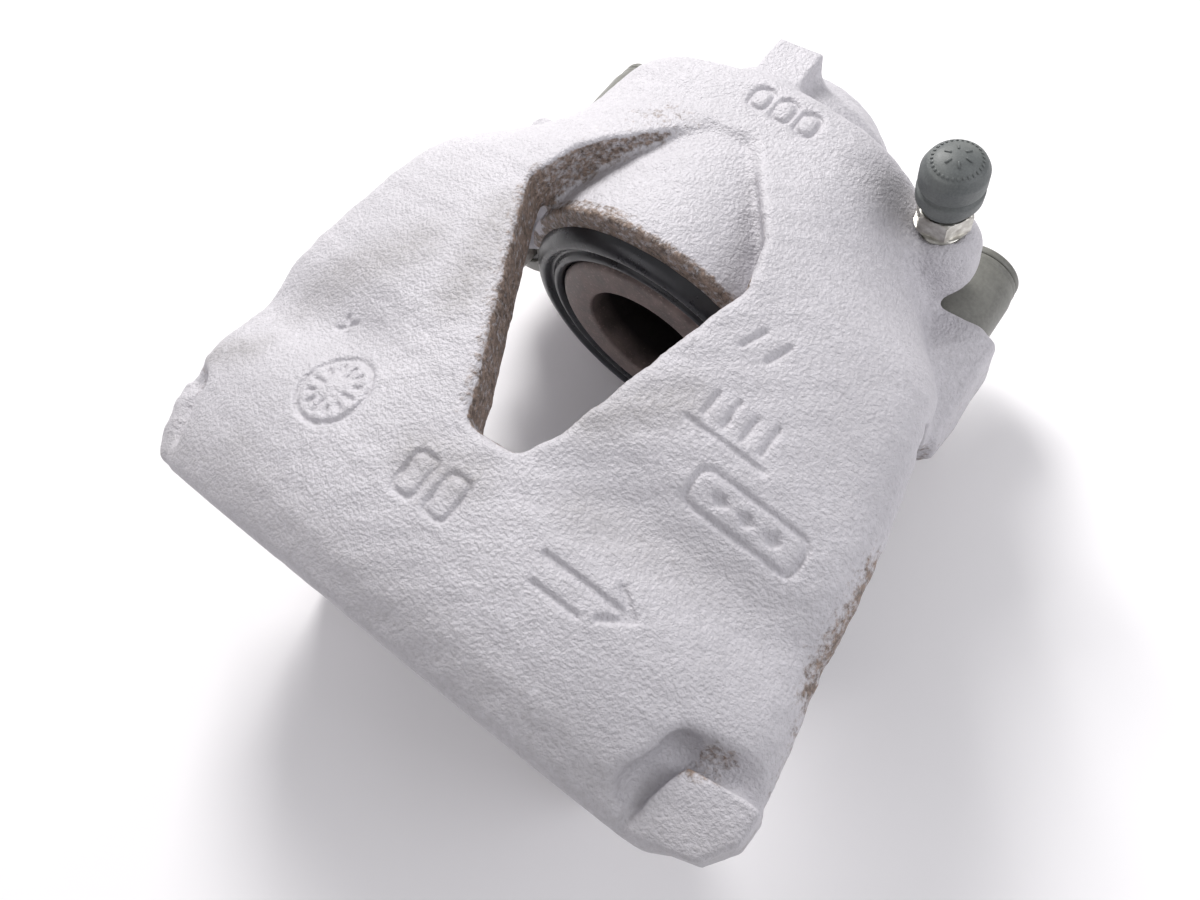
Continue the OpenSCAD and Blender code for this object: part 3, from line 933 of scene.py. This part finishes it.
class MakePiston(bpy.types.Operator):
    """Make the piston, its square seal, the dust boot and the ring in the boot's bead"""

    bl_idname = "caliper.make_piston"
    bl_label = "Piston and boot"

    def execute(self, context):
        c = colours()
        face, back = PISTON_LOW[1] - SEAT_Y, PISTON_HIGH[1] - SEAT_Y
        hollow, groove, cup_floor = 17.75, 24.4, back - 10.0
        piston = turned("piston_cup", [
            (0.0, cup_floor), (hollow, cup_floor), (hollow, face), (PISTON_R - 1.2, face),
            (PISTON_R, face + 1.2),
            (PISTON_R, face + 2.0), (groove, face + 2.0), (groove, face + 4.6), (PISTON_R, face + 4.6),
            (PISTON_R, back - 2.0), (PISTON_R - 2.0, back), (0.0, back)],
            "Y", (0, 0, 0), piston_steel(), closed=False, edge=0.7, segments=128)
        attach(piston, "piston")
        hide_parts("piston")
        black = rubber_finish("boot_rubber", c.rubber, (0.045, 0.045, 0.05), 0.30, 1.2, 0.03)
        low, high = span("piston_seal")
        seal = turned("square_seal", [
            (PISTON_R + 0.05, low[1] - SEAT_Y), (high[0], low[1] - SEAT_Y),
            (high[0], high[1] - SEAT_Y), (PISTON_R + 0.05, high[1] - SEAT_Y)],
            "Y", (0, 0, 0), black, edge=0.3, segments=96)
        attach(seal, "casting")
        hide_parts("piston_seal")
        lip = groove + 0.15
        bead_end, core = 3.6, 30.1
        outside = [(33.85, bead_end), (33.85, 0.25), (36.0, -0.2), (36.3, -1.3), (35.6, -3.0), (33.8, -4.7),
                   (31.9, -4.95), (31.1, -3.5), (30.3, -3.2), (29.4, -4.5), (28.3, -4.7), (27.5, -3.7),
                   (27.1, face + 2.15), (lip, face + 2.15)]
        inside = [(lip, face + 4.45), (26.6, face + 4.45), (27.9, -1.8), (28.7, -3.2), (29.3, -2.4),
                  (29.9, -1.7), (31.3, -2.0), (32.5, -3.5), (33.4, -3.2), (33.7, -1.4), (30.2, -0.2),
                  (28.2, 0.4), (28.2, bead_end), (core, bead_end), (core, 1.2), (31.5, 1.2), (31.5, bead_end)]
        boot = turned("bellows_boot", outside + inside, "Y", (0, 0, 0), black, edge=0.9, segments=160)
        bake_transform(boot, "casting", "piston", start=boot_point(33.0, 0.0), end=boot_point(26.0, -3.0))
        radial_blend(boot)
        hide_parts("dust_boot")
        ring = turned("bead_ring", [(30.2, 1.3), (31.4, 1.3), (31.4, 3.6), (30.2, 3.6)],
                      "Y", (0, 0, 0), zinc_steel(), edge=0.3, segments=96)
        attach(ring, "casting")
        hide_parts("boot_ring")
        return {"FINISHED"}


def boot_point(r, h):
    """A point of the boot at radius r and height h, in metres in the frame."""
    return tuple((np.array([0.0, h, -r]) + ORIGIN) * MM)


def radial_blend(boot):
    """Lets each ring of the boot follow the piston more the nearer it lies to it."""
    layer = boot.data.attributes["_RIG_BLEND"]
    p = np.array([v.co for v in boot.data.vertices]) / MM - ORIGIN
    r = np.hypot(p[:, 0], p[:, 2])
    layer.data.foreach_set("value", ease((33.2 - r) / 6.4 * (p[:, 1] < 0.3)).astype(np.float32))


class MakeGuides(bpy.types.Operator):
    """Make the guide bushes, their liners, the guide pins and the push-in caps"""

    bl_idname = "caliper.make_guides"
    bl_label = "Guides"

    def execute(self, context):
        c = colours()
        rubber = rubber_finish("bush_rubber", c.bush, (0.23, 0.23, 0.205), 0.42, 0.9, 0.035)
        plastic = rubber_finish("liner_plastic", (0.03, 0.03, 0.03), (0.06, 0.06, 0.06), 0.4, 0.5, 0.02)
        zinc = zinc_steel()
        for side, sign in (("left", -1), ("right", 1)):
            centre = (sign * GUIDE_X, 0.0, GUIDE_Z)
            self.bush(side, centre, rubber)
            self.cap(side, centre, rubber)
            low, high = span("guide_liner_" + side)
            start, end, r = low[1] - SEAT_Y, high[1] - SEAT_Y, (high[0] - low[0]) / 2
            liner = turned("liner_" + side, [(r - 1.4, start), (r, start), (r, end), (r - 1.4, end)],
                           "Y", centre, plastic, edge=0.3, segments=64)
            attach(liner, "casting")
            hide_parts("guide_liner_" + side)
            self.pin(side, centre, zinc)
        return {"FINISHED"}

    def bush(self, side, centre, material):
        low, high = span("guide_bush_" + side)
        start, end = low[1] - SEAT_Y, high[1] - SEAT_Y
        bore, room, bead, seat, rim = 7.22, 7.9, 11.5, 9.95, 9.75
        ear_back = 36.2
        piece = turned("bush_" + side, [
            (bore, start), (11.2, start), (bead, start + 1.0), (bead, start + 3.4), (seat, start + 4.0),
            (seat, ear_back), (10.9, ear_back), (11.0, 38.0), (10.45, 38.6), (10.2, end - 4.0),
            (9.7, end - 1.4), (rim, end - 1.2), (rim, end), (room, end), (room, 37.6), (bore, 37.5)],
            "Y", centre, material, edge=0.5, segments=96)
        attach(piece, "casting")
        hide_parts("guide_bush_" + side)

    def cap(self, side, centre, material):
        low, high = span("guide_cap_" + side)
        inner, end = low[1] - SEAT_Y, high[1] - SEAT_Y
        plug, rim = 7.8, 9.55
        piece = turned("cap_" + side, [
            (0.0, inner + 1.5), (5.8, inner + 1.5), (5.8, inner), (plug, inner), (plug, end - 2.2),
            (9.3, end - 2.2), (rim, end - 1.8), (rim, end - 0.6), (8.9, end), (7.2, end),
            (6.8, end - 0.35), (0.0, end - 0.35)],
            "Y", centre, material, closed=False, edge=0.3, segments=96)
        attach(piece, "cap_" + side)
        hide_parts("guide_cap_" + side)

    def pin(self, side, centre, material):
        low, high = span("guide_pin_" + side)
        tip, end = low[1] - SEAT_Y, high[1] - SEAT_Y
        root, crest, pitch, shank, head, socket = 3.9, 4.5, 1.25, 5.75, 7.2, 4.0
        profile = [(0.0, tip), (3.2, tip), (root, tip + 0.8)]
        profile += threaded_profile(root, crest, tip + 1.0, 0.6, pitch)
        profile += [(root, 1.2), (root, 2.0), (shank - 0.4, 2.0), (shank, 2.5), (shank, end - 5.0),
                    (head, end - 5.0), (head, end - 0.6), (head - 0.6, end), (4.6, end),
                    (socket, end - 0.5), (socket, end - 4.0), (0.0, end - 4.6)]

        def hexagonal(r, h, angle):
            if h > end - 4.8 and 0.1 < r < 4.3:
                return hexagon(6.9, angle)
            return r

        piece = turned("pin_" + side, profile, "Y", centre, material, closed=False, edge=0.12,
                       segments=72, shape=hexagonal, steps=1)
        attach(piece, "pin_" + side)
        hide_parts("guide_pin_" + side)


class MakeBleeder(bpy.types.Operator):
    """Make the bleed screw and its rubber cap"""

    bl_idname = "caliper.make_bleeder"
    bl_label = "Bleed screw"

    def execute(self, context):
        low, high = span("bleed_screw")
        foot, top = low[2] - AXIS_Z, high[2] - AXIS_Z
        centre = (BLEED_X, BLEED_Y, 0.0)
        hex_low, hex_high, flats = top - 15.0, top - 10.0, 11.0
        waist, corner = 4.2, 6.45
        profile = [(0.0, foot), (1.2, foot), (3.8, foot + 4.8)]
        profile += threaded_profile(waist, 4.95, foot + 5.0, hex_low - 1.6, 1.0)
        profile += [(waist, hex_low - 1.0), (waist, hex_low), (6.2, hex_low), (corner, hex_low + 0.5),
                    (corner, hex_high - 0.7), (5.7, hex_high), (3.3, hex_high), (3.1, top - 3.6),
                    (3.6, top - 2.6), (2.9, top - 0.2),
                    (2.4, top), (1.0, top), (1.0, foot + 6.8), (0.0, foot + 6.8)]

        def hexagonal(r, h, angle):
            if hex_low + 0.02 < h < hex_high - 0.02 and r > 4.6:
                return min(r, hexagon(flats, angle))
            return r

        screw = turned("bleed_nipple", profile, "Z", centre, zinc_steel(), closed=False, edge=0.12,
                       segments=96, shape=hexagonal, steps=1)
        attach(screw, "bleeder")
        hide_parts("bleed_screw")
        self.cap(centre)
        return {"FINISHED"}

    def cap(self, centre):
        c = colours()
        low, high = span("bleed_cap")
        foot, top, r = low[2] - AXIS_Z, high[2] - AXIS_Z, (high[0] - low[0]) / 2
        material = rubber_finish("cap_rubber", c.cap, (0.20, 0.21, 0.20), 0.50, 0.45, 0.05)

        def dome(radius):
            return top - 0.35 - 0.062 * radius ** 2

        profile = [(3.8, foot), (r - 1.5, foot), (r - 1.3, foot + 2.2), (r - 0.1, foot + 2.6),
                   (r, foot + 5.4), (r - 0.8, foot + 5.9), (r - 0.8, foot + 6.6), (r - 0.05, foot + 7.1),
                   (r - 0.1, foot + 10.6), (r - 0.9, foot + 12.2)]
        profile += [(radius, dome(radius)) for radius in (5.9, 5.0, 4.0, 2.0, 0.0)]
        inner = [(0.0, foot + 11.1), (3.7, foot + 11.1)]
        body = turned("cap_body", inner + profile, "Z", centre, material, closed=False, edge=0.35)

        def on_dome(p):
            x, y, z = p
            return centre[0] + x, centre[1] + y, dome(math.hypot(x, y)) + z

        pips = stud_ring("cap_pips", material, 30, 5.0, 0.5, 0.55, 0.55, on_dome)
        ticks = stud_ring("cap_ticks", material, 6, 2.3, 0.5, 1.5, 0.5, on_dome)
        cap = joined("bleed_cap_dome", [body, pips, ticks])
        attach(cap, "bleed_cap")
        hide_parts("bleed_cap")


class MakeStage(bpy.types.Operator):
    """Make the pale floor, the soft lights and the camera"""

    bl_idname = "caliper.make_stage"
    bl_label = "Stage"

    def execute(self, context):
        scene = context.scene
        scene.view_settings.view_transform = "Standard"
        world = bpy.data.worlds.new("studio")
        world.use_nodes = True
        glow = world.node_tree.nodes["Background"].inputs
        glow["Color"].default_value = (1.0, 0.99, 1.0, 1.0)
        glow["Strength"].default_value = 0.46
        scene.world = world
        self.floor()
        self.light("key", (-330, 300, 420), 200, 3.7, (1.0, 0.985, 0.97))
        self.light("fill", (380, 120, 300), 260, 0.7, (0.96, 0.96, 1.0))
        self.light("front", (-200, -420, 220), 320, 0.35, (0.97, 0.94, 1.0))
        self.camera()
        return {"FINISHED"}

    def floor(self):
        mesh = bpy.data.meshes.new("floor")
        half = 1.6      # in metres
        corners = [(-half, -half, 0), (half, -half, 0), (half, half, 0), (-half, half, 0)]
        mesh.from_pydata(corners, [], [(0, 1, 2, 3)])
        floor = placed("floor", mesh)
        f = Finish("floor_paper")
        f.give("Base Color", f.mixed(f.noise(40.0), (0.93, 0.92, 0.935), (0.95, 0.94, 0.955)))
        f.give("Roughness", 0.7)
        mesh.materials.append(f.material)

    def light(self, name, place, size, watts, colour):
        """A square soft light aimed at the caliper; place and size are in millimetres."""
        data = bpy.data.lights.new(name, "AREA")
        data.size = size * MM
        data.energy = watts
        data.color = colour
        lamp = placed(name, data)
        lamp.location = Vector(place) * MM
        aim = Vector((0, 0, 0.04)) - lamp.location
        lamp.rotation_euler = aim.to_track_quat("-Z", "Y").to_euler()

    def camera(self):
        azimuth, elevation, roll = (math.radians(a) for a in CAMERA_TURN)
        flat = math.cos(elevation)
        back = Vector((math.sin(azimuth) * flat, -math.cos(azimuth) * flat, math.sin(elevation)))
        right = Vector((math.cos(azimuth), math.sin(azimuth), 0.0))
        up = back.cross(right)
        level, tilt = math.cos(roll), math.sin(roll)
        right, up = right * level + up * tilt, up * level - right * tilt
        data = bpy.data.cameras.new("camera")
        data.lens = CAMERA_LENS
        camera = placed("camera", data)
        turn = Matrix((right, up, back)).transposed().to_4x4()
        camera.matrix_world = Matrix.Translation((Vector(CAMERA_PLACE) + Vector(ORIGIN)) * MM) @ turn
        bpy.context.scene.camera = camera


class CaliperPanel(bpy.types.Panel):
    """Buttons that build the caliper piece by piece"""

    bl_idname = "VIEW3D_PT_caliper"
    bl_label = "Brake caliper"
    bl_space_type = "VIEW_3D"
    bl_region_type = "UI"
    bl_category = "Caliper"

    def draw(self, context):
        for operator in BUILDERS:
            self.layout.operator(operator.bl_idname)
        for group in (context.scene.caliper_sizes, context.scene.caliper_colours):
            for name in group.__annotations__:
                self.layout.prop(group, name)


BUILDERS = (MakeStage, MakeCasting, MakePiston, MakeGuides, MakeBleeder)
CLASSES = (CaliperSizes, CaliperColours, *BUILDERS, CaliperPanel)


def register():
    for item in CLASSES:
        bpy.utils.register_class(item)
    bpy.types.Scene.caliper_sizes = PointerProperty(type=CaliperSizes)
    bpy.types.Scene.caliper_colours = PointerProperty(type=CaliperColours)


def unregister():
    del bpy.types.Scene.caliper_colours
    del bpy.types.Scene.caliper_sizes
    for item in reversed(CLASSES):
        bpy.utils.unregister_class(item)


def main():
    register()
    bpy.ops.caliper.make_stage()
    bpy.ops.caliper.make_casting()
    bpy.ops.caliper.make_piston()
    bpy.ops.caliper.make_guides()
    bpy.ops.caliper.make_bleeder()
    bpy.context.view_layer.update()


if __name__ == "__main__":
    main()
